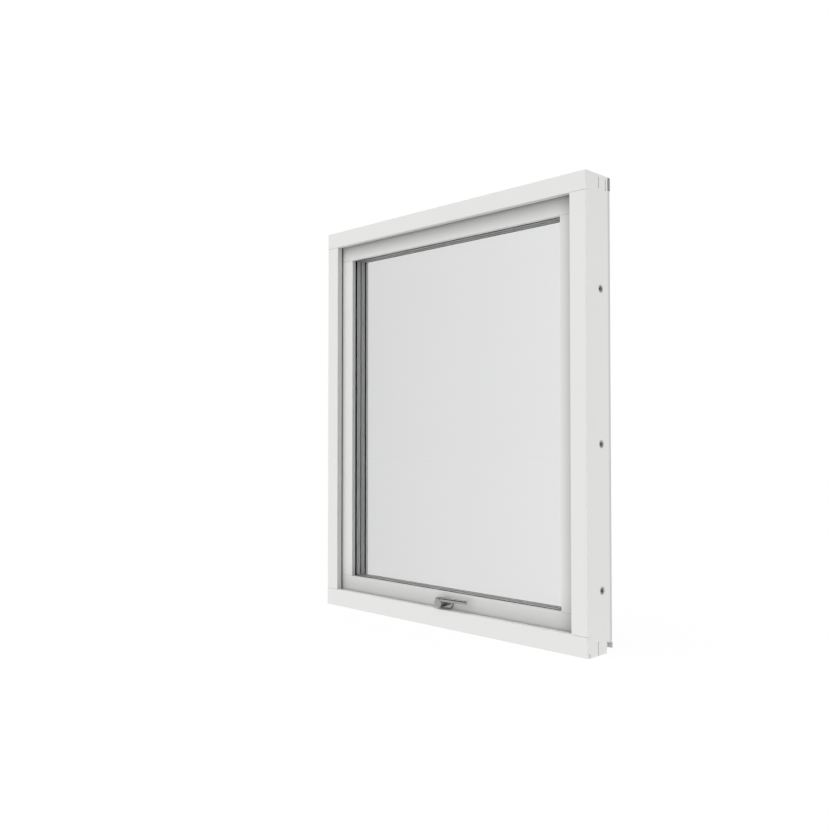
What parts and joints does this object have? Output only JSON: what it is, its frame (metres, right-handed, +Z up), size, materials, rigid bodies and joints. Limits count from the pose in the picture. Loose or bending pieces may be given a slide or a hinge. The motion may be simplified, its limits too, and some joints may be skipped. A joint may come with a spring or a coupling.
{
  "type": "pivot window",
  "caption": "Pivot window with a painted timber frame and sash, sealed glazing, aluminium outer cladding and a lever handle on the bottom rail.",
  "frame": {"origin": "on the underside of the sill, at mid width of the window and mid depth of the timber frame", "axes": "+X to the right as seen from the room, +Y outdoors, +Z up"},
  "size_m": [0.98, 0.115, 1.18],
  "materials": {
    "painted_timber": "smooth white paint on timber, satin",
    "outer_cladding": "light grey powder coat on aluminium",
    "clear_glass": "clear float glass",
    "spacer_bar": "matt grey spacer bar with black sealant along its edges",
    "black_seal": "matt black rubber",
    "zinc_sleeve": "bright zinc plate",
    "steel_arm": "plain galvanised steel",
    "satin_handle": "satin nickel plate"
  },
  "bodies": {
    "window": {"frame_head": "painted_timber", "frame_sill": "painted_timber", "frame_jamb_left": "painted_timber", "frame_jamb_right": "painted_timber", "sash_top_rail": "painted_timber", "sash_bottom_rail": "painted_timber", "sash_stile_left": "painted_timber", "sash_stile_right": "painted_timber", "cladding_head": "outer_cladding", "cladding_sill": "outer_cladding", "cladding_jamb_left": "outer_cladding", "cladding_jamb_right": "outer_cladding", "sash_cladding_top": "outer_cladding", "sash_cladding_bottom": "outer_cladding", "sash_cladding_left": "outer_cladding", "sash_cladding_right": "outer_cladding", "glass_inner": "clear_glass", "glass_middle": "clear_glass", "glass_outer": "clear_glass", "spacer_inner": "spacer_bar", "spacer_outer": "spacer_bar", "glazing_bed_inner": "black_seal", "glazing_bed_outer": "black_seal", "frame_seal": "black_seal", "fixing_sleeves_left": "zinc_sleeve", "fixing_sleeves_right": "zinc_sleeve", "pivot_arm_left": "steel_arm", "pivot_arm_right": "steel_arm", "handle_rose": "satin_handle"},
    "handle": {"handle_lever": "satin_handle"}
  },
  "joints": [
    {"name": "handle_turn", "type": "hinge", "parent": "window", "child": "handle", "pos_m": [0, -0.048, 0.0692], "axis": [0, -1, 0], "range_deg": [0, 90]}
  ]
}
